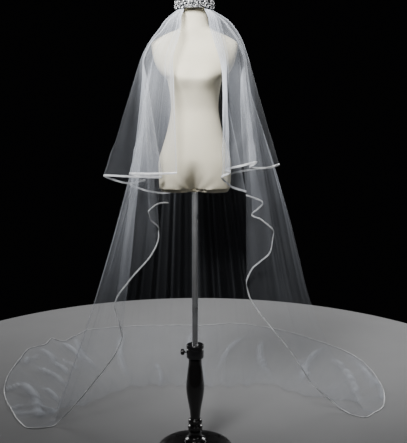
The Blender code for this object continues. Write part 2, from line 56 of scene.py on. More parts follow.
# Dress form
NECK_TOP = 1.840
FORM_BOTTOM = 1.107
FORM_SIDES = 120
CLEFT_WIDTH = 0.034
FORM_ROUND = 0.012

# Band
BAND_BOTTOM = 1.825
BAND_TOP = 1.858
BAND_HALF_WIDTH = 0.0726
BAND_HALF_DEPTH = 0.0686
BAND_WALL = 0.0030

# Stand
SOCKET_RADIUS = 0.0365
SOCKET_TOP = 0.464
SOCKET_BOTTOM = 0.405
KNOB_Z = 0.430
KNOB_SHANK = 0.008
KNOB_LENGTH = 0.016
KNOB_RADIUS = 0.0125
BASE_RADIUS = 0.160
BASE_TOP = 0.034
ROUND_SIDES = 96

# Camera: a pinhole of 741 pixels' focal length on a picture 443 pixels high
CAMERA_PLACE = (0.0352, -3.0, 1.4512)
CAMERA_TILT = 8.820
CAMERA_LENS = 60.23

# left is the share of the half width that the ring has on the viewer's left
Ring = namedtuple("Ring", "name z half_width half_depth gather left")
LOWER_RINGS = (
    Ring("gather", 1.836, 0.0549, 0.0509, 0.0007, 1.00),
    Ring("roll", 1.822, 0.0640, 0.0600, 0.0010, 0.97),
    Ring("puff", 1.782, 0.1180, 0.0880, 0.0016, 0.88),
    Ring("slope", 1.745, 0.1500, 0.1030, 0.0014, 0.87),
    Ring("shoulder", 1.700, 0.1810, 0.1140, 0.0010, 0.95),
    Ring("chest", 1.630, 0.2040, 0.1280, 0.0006, 1.00),
)
UPPER_RINGS = (
    Ring("gather", 1.8362, 0.0588, 0.0548, 0.0009, 1.00),
    Ring("roll", 1.823, 0.0710, 0.0670, 0.0012, 0.97),
    Ring("puff", 1.787, 0.1290, 0.0980, 0.0018, 0.87),
    Ring("slope", 1.751, 0.1620, 0.1130, 0.0016, 0.86),
    Ring("shoulder", 1.706, 0.1890, 0.1270, 0.0012, 0.93),
    Ring("chest", 1.635, 0.2140, 0.1430, 0.0008, 1.00),
)

UpperFold = namedtuple("UpperFold", "name bearing x y z")
UPPER_GATHER = (64.0, 306.0)
UPPER_LEAN = (-11.0, 11.0)
UPPER_FOLDS = (
    UpperFold("left_edge", 22, -0.067, -0.150, 1.194),
    UpperFold("left_front_dip", 34, -0.150, -0.140, 1.190),
    UpperFold("left_front_fold", 50, -0.250, -0.122, 1.188),
    UpperFold("left_inner_turn", 58, -0.185, -0.098, 1.178),
    UpperFold("left_inner_fold", 66, -0.126, -0.078, 1.171),
    UpperFold("left_side_dip", 76, -0.235, -0.036, 1.168),
    UpperFold("left_tip", 90, -0.373, 0.040, 1.166),
    UpperFold("left_back_turn", 104, -0.292, 0.160, 1.123),
    UpperFold("left_back_inner", 112, -0.222, 0.258, 1.126),
    UpperFold("left_back_outer", 122, -0.292, 0.306, 1.100),
    UpperFold("back_1_in", 132, -0.190, 0.325, 1.065),
    UpperFold("back_2_out", 142, -0.150, 0.362, 1.058),
    UpperFold("back_3_in", 152, -0.105, 0.336, 1.064),
    UpperFold("back_4_out", 162, -0.070, 0.372, 1.068),
    UpperFold("back_5_in", 171, -0.028, 0.338, 1.076),
    UpperFold("back_6_out", 180, 0.010, 0.374, 1.084),
    UpperFold("back_7_in", 189, 0.045, 0.338, 1.097),
    UpperFold("back_8_out", 198, 0.085, 0.370, 1.112),
    UpperFold("back_9_in", 208, 0.120, 0.330, 1.128),
    UpperFold("back_10_out", 218, 0.170, 0.348, 1.149),
    UpperFold("back_11_in", 228, 0.208, 0.302, 1.161),
    UpperFold("right_back", 240, 0.270, 0.276, 1.176),
    UpperFold("right_back_dip", 252, 0.325, 0.205, 1.186),
    UpperFold("right_tip", 268, 0.351, 0.100, 1.208),
    UpperFold("right_side_dip", 280, 0.285, -0.040, 1.204),
    UpperFold("right_inner_fold", 290, 0.214, -0.088, 1.211),
    UpperFold("right_outer_fold", 300, 0.244, -0.119, 1.234),
    UpperFold("right_front_dip", 308, 0.188, -0.128, 1.221),
    UpperFold("right_strip_inner", 323, 0.118, -0.137, 1.205),
    UpperFold("right_strip_fold", 326, 0.138, -0.165, 1.199),
    UpperFold("right_front_fold", 329, 0.108, -0.152, 1.179),
    UpperFold("right_flap", 332, 0.143, -0.108, 1.138),
    UpperFold("right_edge", 334, 0.205, -0.070, 1.113),
)

HangingFold = namedtuple("HangingFold", "name bearing x y z hip knee")
LOWER_GATHER = (58.0, 302.0)
LEFT_HANGING = (
    HangingFold("left_edge", 76, -0.118, 0.165, 1.038, 0.0, 0.0),
    HangingFold("left_flap", 79, -0.150, 0.085, 1.047, 0.0, 0.0),
    HangingFold("left_front_fold", 82, -0.185, -0.015, 1.030, 0.0, 0.0),
    HangingFold("left_front_turn", 85, -0.180, 0.060, 0.975, 0.0, 0.0),
    HangingFold("left_inner_fold", 88, -0.155, 0.130, 0.922, 0.0, 0.0),
    HangingFold("left_inner_turn", 91, -0.189, 0.125, 0.817, 0.0, 0.0),
    HangingFold("left_slant_high", 94, -0.288, 0.115, 0.702, 0.0, 0.0),
    HangingFold("left_outer_fold", 97, -0.349, 0.120, 0.596, 0.008, 0.0),
    HangingFold("left_low_inner", 101, -0.327, 0.175, 0.434, 0.018, 0.000),
    HangingFold("left_slant_mid", 105, -0.381, 0.195, 0.319, 0.026, 0.000),
    HangingFold("left_slant_low", 109, -0.451, 0.215, 0.224, 0.034, 0.000),
    HangingFold("left_slant_foot", 113, -0.530, 0.238, 0.122, 0.040, 0.000),
)
RIGHT_HANGING = (
    HangingFold("right_slant_foot", 250, 0.672, 0.400, 0.027, 0.0, 0.058),
    HangingFold("right_slant_low", 254, 0.583, 0.362, 0.113, 0.0, 0.042),
    HangingFold("right_slant_mid", 258, 0.524, 0.326, 0.187, 0.0, 0.028),
    HangingFold("right_slant_knee", 262, 0.430, 0.270, 0.343, 0.0, 0.010),
    HangingFold("right_slant_high", 266, 0.349, 0.235, 0.451, 0.0, 0.0),
    HangingFold("right_low_fold", 269, 0.235, 0.188, 0.620, 0.0, 0.0),
    HangingFold("right_low_turn", 272, 0.243, 0.130, 0.752, 0.0, 0.0),
    HangingFold("right_outer_turn", 275, 0.314, 0.088, 0.830, 0.0, 0.0),
    HangingFold("right_outer_fold", 278, 0.319, 0.015, 0.945, 0.0, 0.0),
    HangingFold("right_front_dip", 281, 0.270, -0.026, 0.995, 0.0, 0.0),
    HangingFold("right_front_fold", 284, 0.234, -0.035, 1.014, 0.0, 0.0),
    HangingFold("right_flap", 288, 0.282, 0.014, 1.060, 0.022, 0.0),
    HangingFold("right_edge", 291, 0.211, 0.052, 1.084, 0.014, 0.0),
)

TrainFold = namedtuple("TrainFold", "name bearing foot_x foot_y edge_x edge_y fold hip knee")
TRAIN = (
    TrainFold("left_pool_front", 116, -0.648, 0.264, -0.652, 0.214, 0.000, 0.042, 0.010),
    TrainFold("left_pool_tip", 118, -0.660, 0.302, -0.772, 0.200, 0.000, 0.042, 0.010),
    TrainFold("left_pool_side", 120, -0.664, 0.342, -0.880, 0.370, 0.000, 0.041, 0.010),
    TrainFold("left_side", 122, -0.662, 0.380, -0.985, 0.610, 0.006, 0.041, 0.010),
    TrainFold("left_lobe_1", 124, -0.632, 0.400, -1.034, 0.870, -0.010, 0.040, 0.008),
    TrainFold("left_lobe_2", 127, -0.590, 0.405, -1.034, 1.125, 0.010, 0.036, 0.006),
    TrainFold("left_lobe_3", 130, -0.545, 0.410, -1.026, 1.320, -0.012, 0.030, 0.004),
    TrainFold("left_notch", 133, -0.505, 0.450, -0.945, 1.400, 0.014, 0.024, 0.000),
    TrainFold("left_scallop", 136, -0.470, 0.505, -0.925, 1.530, -0.014, 0.018, 0.000),
    TrainFold("left_bay", 139, -0.430, 0.560, -0.835, 1.470, 0.016, 0.012, 0.000),
    TrainFold("left_corner", 142, -0.385, 0.610, -0.735, 1.690, -0.016, 0.006, 0.000),
    TrainFold("back_1", 145, -0.335, 0.645, -0.620, 1.740, 0.020, 0.0, 0.0),
    TrainFold("back_2", 149, -0.285, 0.660, -0.520, 1.770, -0.020, 0.0, 0.0),
    TrainFold("back_3", 153, -0.235, 0.670, -0.420, 1.790, 0.022, 0.0, 0.0),
    TrainFold("back_4", 157, -0.190, 0.675, -0.325, 1.800, -0.022, 0.0, 0.0),
    TrainFold("back_5", 161, -0.140, 0.675, -0.230, 1.800, 0.024, 0.0, 0.0),
    TrainFold("back_6", 165, -0.100, 0.672, -0.145, 1.805, -0.022, 0.0, 0.0),
    TrainFold("back_7", 169, -0.055, 0.672, -0.065, 1.805, 0.018, 0.0, 0.0),
    TrainFold("back_8", 173, -0.018, 0.672, 0.010, 1.805, -0.020, 0.0, 0.0),
    TrainFold("back_9", 177, 0.025, 0.668, 0.085, 1.815, 0.022, 0.0, 0.0),
    TrainFold("back_10", 181, 0.070, 0.664, 0.160, 1.840, -0.024, 0.0, 0.0),
    TrainFold("back_11", 185, 0.118, 0.662, 0.235, 1.850, 0.020, 0.0, 0.0),
    TrainFold("back_12", 189, 0.165, 0.662, 0.320, 1.830, -0.022, 0.0, 0.0),
    TrainFold("back_13", 193, 0.212, 0.668, 0.405, 1.790, 0.024, 0.0, 0.0),
    TrainFold("back_14", 197, 0.258, 0.680, 0.490, 1.740, -0.018, 0.0, 0.0),
    TrainFold("back_15", 201, 0.305, 0.690, 0.575, 1.675, 0.018, 0.0, 0.0),
    TrainFold("back_16", 205, 0.352, 0.695, 0.655, 1.590, -0.016, 0.0, 0.010),
    TrainFold("back_17", 209, 0.402, 0.675, 0.735, 1.490, 0.016, 0.0, 0.020),
    TrainFold("right_lobe_1", 213, 0.450, 0.625, 0.814, 1.393, -0.014, 0.0, 0.030),
    TrainFold("right_lobe_2", 217, 0.500, 0.570, 0.885, 1.280, 0.014, 0.0, 0.040),
    TrainFold("right_lobe_3", 221, 0.550, 0.535, 0.940, 1.130, -0.012, 0.000, 0.045),
    TrainFold("right_lobe_4", 225, 0.605, 0.515, 0.966, 0.960, 0.012, 0.000, 0.053),
    TrainFold("right_lobe_5", 229, 0.665, 0.500, 0.972, 0.800, -0.010, 0.000, 0.058),
    TrainFold("right_side", 233, 0.730, 0.490, 0.960, 0.610, 0.008, 0.000, 0.060),
    TrainFold("right_pool_side", 237, 0.790, 0.460, 0.915, 0.440, 0.000, 0.000, 0.060),
    TrainFold("right_pool_tip", 240, 0.802, 0.424, 0.858, 0.372, 0.000, 0.000, 0.060),
    TrainFold("right_pool_nose", 243, 0.785, 0.400, 0.802, 0.314, 0.000, 0.000, 0.060),
    TrainFold("right_pool_front", 246, 0.745, 0.410, 0.738, 0.340, 0.000, 0.000, 0.060),
)

DROP_SHARES = (0.12, 0.25, 0.39, 0.53, 0.67, 0.80, 0.91)
FLOOR_SHARES = (0.12, 0.42, 0.72)
BEND_SHARE = 0.04
LOW_SHARES = (0.26, 0.50, 0.75)
HANGING_SPLIT = 0.80
LOW_SPLIT = 0.955
SPLIT_HEIGHT = 0.60
UPPER_SHARES = (0.18, 0.38, 0.58, 0.79)

# Soft ridges of the train where it lies on the floor, from one end to the other
Crease = namedtuple("Crease", "name x0 y0 x1 y1 height width")
CREASES = (
    Crease("left_far", -0.950, 1.300, -0.810, 1.035, 0.020, 0.030),
    Crease("left_far_turn", -0.810, 1.035, -0.705, 0.860, 0.022, 0.026),
    Crease("left_upper", -0.790, 1.090, -0.660, 0.940, 0.022, 0.022),
    Crease("left_middle", -0.885, 0.960, -0.690, 0.700, 0.026, 0.028),
    Crease("left_broad", -0.925, 0.745, -0.735, 0.285, 0.030, 0.034),
    Crease("left_inner", -0.790, 0.660, -0.680, 0.470, 0.022, 0.024),
    Crease("left_low", -0.800, 0.430, -0.660, 0.335, 0.022, 0.020),
    Crease("left_notch_fold", -0.850, 1.410, -0.670, 1.090, 0.026, 0.030),
    Crease("left_rim", -0.995, 0.620, -0.910, 0.750, 0.016, 0.022),
    Crease("left_rim_far", -1.005, 1.030, -0.940, 1.180, 0.018, 0.026),
    Crease("left_tip_fold", -0.860, 0.450, -0.905, 0.405, 0.012, 0.018),
    Crease("back_left_slant", -0.560, 0.950, -0.780, 1.560, 0.022, 0.030),
    Crease("back_left", -0.380, 0.840, -0.470, 1.640, 0.020, 0.034),
    Crease("back_middle_left", -0.240, 1.040, -0.190, 0.720, 0.016, 0.024),
    Crease("back_middle", 0.030, 0.760, -0.030, 1.680, 0.022, 0.036),
    Crease("back_slant", 0.120, 0.930, 0.300, 1.560, 0.018, 0.026),
    Crease("back_right", 0.395, 0.820, 0.400, 1.455, 0.020, 0.030),
    Crease("right_back", 0.560, 1.100, 0.600, 0.770, 0.020, 0.026),
    Crease("right_back_slant", 0.560, 0.760, 0.760, 1.330, 0.020, 0.030),
    Crease("right_long", 0.785, 1.130, 0.800, 0.470, 0.026, 0.028),
    Crease("right_outer", 0.885, 1.180, 0.925, 0.700, 0.020, 0.026),
    Crease("right_rim", 0.945, 0.845, 0.930, 0.520, 0.014, 0.020),
)

# Folds pressed in at the neck. order runs from 0 at the left front edge to 1 at the right
# one, reach is the share of the way from the chest to the hem where the fold has faded.
Pleat = namedtuple("Pleat", "order strength reach")
UPPER_PLEATS = (
    Pleat(0.000, 6.0, 1.90),
    Pleat(0.012, 1.2, 0.50),
    Pleat(0.034, 1.8, 0.30),
    Pleat(0.083, 2.2, 0.45),
    Pleat(0.118, 1.0, 0.25),
    Pleat(0.151, 1.6, 0.60),
    Pleat(0.2273, 5.0, 1.80),
    Pleat(0.372, 1.6, 0.60),
    Pleat(0.507, 1.8, 0.55),
    Pleat(0.641, 1.6, 0.35),
    Pleat(0.7500, 4.5, 1.80),
    Pleat(0.847, 2.2, 0.60),
    Pleat(0.881, 1.3, 0.40),
    Pleat(0.912, 2.4, 0.75),
    Pleat(0.937, 3.4, 0.45),
    Pleat(0.961, 2.2, 0.85),
    Pleat(0.984, 1.5, 0.60),
    Pleat(1.000, 2.0, 1.40),
)
LOWER_PLEATS = (
    Pleat(0.000, 2.0, 1.20),
    Pleat(0.021, 1.4, 0.40),
    Pleat(0.094, 1.8, 0.50),
    Pleat(0.188, 1.4, 0.45),
    Pleat(0.2435, 3.0, 1.80),
    Pleat(0.301, 0.9, 0.50),
    Pleat(0.352, 0.7, 0.70),
    Pleat(0.468, 0.6, 0.60),
    Pleat(0.514, 0.9, 0.80),
    Pleat(0.628, 1.0, 0.70),
    Pleat(0.7739, 3.0, 1.80),
    Pleat(0.843, 1.8, 0.70),
    Pleat(0.930, 1.8, 0.35),
    Pleat(0.968, 1.3, 0.25),
    Pleat(1.000, 2.0, 1.20),
)

# How much more net lies at a bearing than one even layer, where folds lie on one another
Overlap = namedtuple("Overlap", "bearing factor")
UPPER_OVERLAPS = (
    Overlap(22.0, 4.4),
    Overlap(36.0, 3.2),
    Overlap(50.0, 1.9),
    Overlap(68.0, 2.0),
    Overlap(82.0, 1.0),
    Overlap(120.0, 0.8),
    Overlap(240.0, 0.8),
    Overlap(268.0, 1.1),
    Overlap(284.0, 2.6),
    Overlap(306.0, 4.2),
    Overlap(318.0, 4.0),
    Overlap(337.0, 2.8),
)
LOWER_OVERLAPS = (
    Overlap(76.0, 2.6),
    Overlap(100.0, 3.0),
    Overlap(113.0, 1.8),
    Overlap(124.0, 1.2),
    Overlap(146.0, 0.7),
    Overlap(206.0, 0.7),
    Overlap(236.0, 1.1),
    Overlap(256.0, 1.3),
    Overlap(272.0, 2.0),
    Overlap(291.0, 3.4),
)

# Flat width at the gathers, the share of the view that one layer stops, how fast that
# grows with gathering and at folds, and the gathers, ripples and their lengths
Cloth = namedtuple("Cloth", "width single power crest gathers ripple lengths seed")
UPPER_CLOTH = Cloth(1.80, 0.037, 1.60, 1.6, 58.0, 0.0040, (0.083, 0.131, 0.213), 3)
LOWER_CLOTH = Cloth(2.70, 0.025, 1.30, 0.8, 70.0, 0.0060, (0.127, 0.211, 0.353), 11)
MOST_LAYERS = 40.0
FLOOR_LAYERS = 3.8
NECK_OVERLAP = 0.35

Section = namedtuple("Section", "name z half_width front back cleft")
FORM_SECTIONS = (
    Section("neck_top", NECK_TOP, 0.0535, 0.0495, 0.0495, 0.0),
    Section("neck", 1.778, 0.0545, 0.0530, 0.0550, 0.0),
    Section("neck_base", 1.754, 0.0640, 0.0560, 0.0640, 0.0),
    Section("slope", 1.736, 0.1050, 0.0560, 0.0720, 0.0),
    Section("shoulder", 1.715, 0.1480, 0.0570, 0.0780, 0.0),
    Section("shoulder_tip", 1.695, 0.1700, 0.0620, 0.0820, 0.0),
    Section("arm", 1.655, 0.1660, 0.0800, 0.0880, 0.0),
    Section("arm_low", 1.610, 0.1530, 0.0950, 0.0920, 0.0),
    Section("arm_end", 1.578, 0.1330, 0.1080, 0.0920, 0.0),
    Section("bust", 1.555, 0.1100, 0.1150, 0.0880, 0.0),
    Section("under_bust", 1.505, 0.0990, 0.0980, 0.0800, 0.0),
    Section("waist", 1.437, 0.0950, 0.0790, 0.0700, 0.0),
    Section("high_hip", 1.345, 0.1130, 0.0880, 0.0900, 0.0),
    Section("hip", 1.245, 0.1440, 0.0980, 0.1100, 0.05),
    Section("seat", 1.180, 0.1460, 0.0970, 0.1100, 0.35),
    Section("thigh", 1.125, 0.1430, 0.0820, 0.1020, 0.68),
    Section("thigh_end", FORM_BOTTOM, 0.1380, 0.0630, 0.0960, 0.76),
)

Turn = namedtuple("Turn", "name z radius")
COLUMN_TURNS = (
    Turn("neck", SOCKET_BOTTOM - GAP, 0.0270),
    Turn("shoulder", 0.375, 0.0285),
    Turn("belly_high", 0.330, 0.0340),
    Turn("belly", 0.275, 0.0385),
    Turn("belly_low", 0.235, 0.0350),
    Turn("waist", 0.175, 0.0240),
    Turn("stem", 0.138, 0.0215),
    Turn("bead_1_top", 0.130, 0.0290),
    Turn("bead_1_low", 0.116, 0.0290),
    Turn("groove", 0.111, 0.0230),
    Turn("bead_2_top", 0.104, 0.0310),
    Turn("bead_2_low", 0.088, 0.0310),
    Turn("cove", 0.078, 0.0250),
    Turn("flare", 0.055, 0.0310),
    Turn("foot_top", 0.046, 0.0440),
    Turn("foot", BASE_TOP + GAP, 0.0460),
)
BASE_TURNS = (
    Turn("top", BASE_TOP, 0.0600),
    Turn("dome", 0.031, 0.0950),
    Turn("shoulder", 0.023, 0.1350),
    Turn("rim", 0.014, 0.1540),
    Turn("edge", 0.006, BASE_RADIUS),
    Turn("foot", 0.000, BASE_RADIUS - 0.003),
)
SOCKET_TURNS = (
    Turn("lip", SOCKET_TOP, 0.0290),
    Turn("lip_edge", 0.4632, 0.0345),
    Turn("collar_top", 0.4605, SOCKET_RADIUS),
    Turn("collar_low", 0.4490, SOCKET_RADIUS),
    Turn("groove_top", 0.4475, 0.0345),
    Turn("groove_low", 0.4455, 0.0345),
    Turn("barrel_top", 0.4440, 0.0362),
    Turn("barrel_low", 0.4100, 0.0362),
    Turn("foot_edge", 0.4062, 0.0345),
    Turn("foot", SOCKET_BOTTOM, 0.0290),
)


def mix(a, b, share):
    """The value that lies share of the way from a to b."""
    return a + (b - a) * share


def unit(vectors):
    """Vectors scaled to length one."""
    length = np.linalg.norm(vectors, axis=-1, keepdims=True)
    return vectors / np.maximum(length, 1e-9)


def soft_step(value, low, high):
    """0 below low, 1 above high and smooth between them."""
    share = np.clip((value - low) / (high - low), 0.0, 1.0)
    return share * share * (3.0 - 2.0 * share)


def on_ring(ring, bearing):
    """The point of an oval ring at a bearing."""
    angle = math.radians(bearing)
    half_width = ring.half_width * mix(1.0, ring.left, max(0.0, math.sin(angle)) ** 0.5)
    return np.array((-half_width * math.sin(angle), -ring.half_depth * math.cos(angle), ring.z))


def neck_points(rings, gather, order, bearing, pace=0.8, lean=(0.0, 0.0)):
    """Where a fold passes each ring: spread evenly at the gather, at its bearing by the chest.
    The leans draw the folds nearest the left and right front edges towards the neck on the way."""
    start = mix(gather[0], gather[1], order)
    lean = mix(lean[0], 0.0, soft_step(order, 0.0, 0.20)) + lean[1] * soft_step(order, 0.75, 1.0)
    shares = np.linspace(0.0, 1.0, len(rings))
    return [on_ring(ring, mix(start, bearing, share ** pace) + lean * math.sin(math.pi * share))
            for share, ring in zip(shares, rings)]


def pulled_in(point, share, hip, knee):
    """A point of a hanging fold, drawn towards the middle at the hip and at the knee."""
    pull = hip * math.sin(math.pi * share ** 0.6) + knee * math.sin(math.pi * share ** 1.8) ** 2
    flat = np.array((point[0], 0.35 * point[1], 0.0))
    return point - unit(flat) * pull


def hanging_line(chest, fold):
    """Points of a fold from the chest to a hem that hangs above the floor."""
    split = mix(LOW_SPLIT, HANGING_SPLIT, min(1.0, fold.z / SPLIT_HEIGHT))
    shares = [split * share for share in DROP_SHARES]
    shares += [mix(split, 1.0, share) for share in (0.06,) + LOW_SHARES] + [1.0]
    hem = np.array((fold.x, fold.y, fold.z))
    return [pulled_in(mix(chest, hem, share), share, fold.hip, fold.knee) for share in shares]


def train_line(chest, fold):
    """Points of a fold from the chest down to its foot and along the floor to the train's edge."""
    reach = np.array((fold.foot_x, fold.foot_y, 0.0))
    foot = reach + unit(reach) * fold.fold
    edge = np.array((fold.edge_x, fold.edge_y, 0.0))
    drop = [pulled_in(mix(chest, foot, share), share, fold.hip, fold.knee) for share in DROP_SHARES]
    high = mix(chest, foot, 1.0 - BEND_SHARE)
    low = mix(foot, edge, 0.5 * FLOOR_SHARES[0])
    bend = (high + 2.0 * foot + low) / 4.0
    floor = [mix(foot, edge, share) for share in FLOOR_SHARES]
    for share, point in zip(FLOOR_SHARES, floor):
        point[2] = max(0.0, fold.fold) * TRAIN_RIDGE * (1.0 - share)
    return drop + [bend] + floor + [edge]


def upper_net():
    """The upper tier's folds as a grid of points, fold by station, from the gather to the hem."""
    lines = []
    for k, fold in enumerate(UPPER_FOLDS):
        order = k / (len(UPPER_FOLDS) - 1)
        line = neck_points(UPPER_RINGS, UPPER_GATHER, order, fold.bearing, 0.4, UPPER_LEAN)
        hem = np.array((fold.x, fold.y, fold.z))
        line += [mix(line[-1], hem, share) for share in UPPER_SHARES + (1.0,)]
        lines.append(line)
    return np.array(lines)


def lower_net():
    """The lower tier's folds as a grid of points, fold by station, from the gather to its edge."""
    folds = LEFT_HANGING + TRAIN + RIGHT_HANGING
    lines = []
    for k, fold in enumerate(folds):
        line = neck_points(LOWER_RINGS, LOWER_GATHER, k / (len(folds) - 1), fold.bearing)
        line += train_line(line[-1], fold) if isinstance(fold, TrainFold) else hanging_line(line[-1], fold)
        lines.append(line)
    return np.array(lines)


def columns_of(net):
    """The folds with one more column between neighbours whose hems lie far apart."""
    columns = []
    last = len(net) - 1
    for k in range(last):
        before, start, end, after = net[max(k - 1, 0)], net[k], net[k + 1], net[min(k + 2, last)]
        columns.append(start)
        if np.linalg.norm(start[-1] - end[-1]) > COLUMN_STEP:
            columns.append((9.0 * (start + end) - before - after) / 16.0)
    columns.append(net[last])
    columns = np.array(columns)
    columns[..., 2] = np.maximum(columns[..., 2], 0.0)
    return columns


def refined(grid, count):
    """A smooth grid with count steps for each step of the first axis. Sharp turns become round."""
    step = grid[1:] - grid[:-1]
    length = np.linalg.norm(step, axis=-1, keepdims=True)
    heading = step / np.maximum(length, 1e-9)
    both = heading[1:] + heading[:-1]
    bend = np.linalg.norm(both, axis=-1, keepdims=True)
    slope = np.empty_like(grid)
    reach = np.minimum(length[1:], length[:-1])
    straight = (0.5 * bend) ** 3
    slope[1:-1] = both / np.maximum(bend, 0.5) * mix(np.minimum(reach, FOLD_SPAN), reach, straight)
    slope[0] = step[0]
    slope[-1] = step[-1]
    rows = []
    for k in range(len(step)):
        for n in range(count):
            t = n / count
            t2, t3 = t * t, t * t * t
            rows.append((2 * t3 - 3 * t2 + 1) * grid[k] + (t3 - 2 * t2 + t) * slope[k]
                        + (3 * t2 - 2 * t3) * grid[k + 1] + (t3 - t2) * slope[k + 1])
    rows.append(grid[-1])
    return np.array(rows)


def normals_of(grid):
    """Unit normals of a grid on its outer side."""
    across = np.gradient(grid, axis=0)
    down = np.gradient(grid, axis=1)
    return unit(np.cross(unit(across), unit(down)))


def smoothed(values, times):
    """Values averaged with their neighbours along the first axis."""
    for _ in range(times):
        padded = np.concatenate((values[:1], values, values[-1:]))
        values = 0.25 * padded[:-2] + 0.5 * padded[1:-1] + 0.25 * padded[2:]
    return values


def uneven_wave(place, lengths, seed):
    """A sum of sine waves of different lengths with fixed, uneven phases, from -1 to 1."""
    source = np.random.RandomState(seed)
    total = np.zeros_like(place)
    weights = 0.0
    for length in lengths:
        weight = 0.6 + 0.4 * source.rand()
        total += weight * np.sin(2.0 * np.pi * (place / length + source.rand()))
        weights += weight
    return total / weights


def crease_shape(x, y):
    """Height of the listed ridges over the floor, and how near a point is to a ridge's crest."""
    height = np.zeros_like(x)
    crest = np.zeros_like(x)
    for crease in CREASES:
        along = np.array((crease.x1 - crease.x0, crease.y1 - crease.y0))
        length = np.linalg.norm(along)
        along = along / length
        share = ((x - crease.x0) * along[0] + (y - crease.y0) * along[1]) / length
        bow = 0.05 * length * np.sin(np.pi * np.clip(share, 0.0, 1.0))
        off = (x - crease.x0) * -along[1] + (y - crease.y0) * along[0] - bow
        taper = soft_step(share, -0.10, 0.22) * (1.0 - soft_step(share, 0.70, 1.10))
        height = np.maximum(height, crease.height * taper * np.exp(-np.abs(off / crease.width) ** 1.5))
        crest = np.maximum(crest, taper * np.exp(-(off / (0.55 * crease.width)) ** 2))
    return height, crest


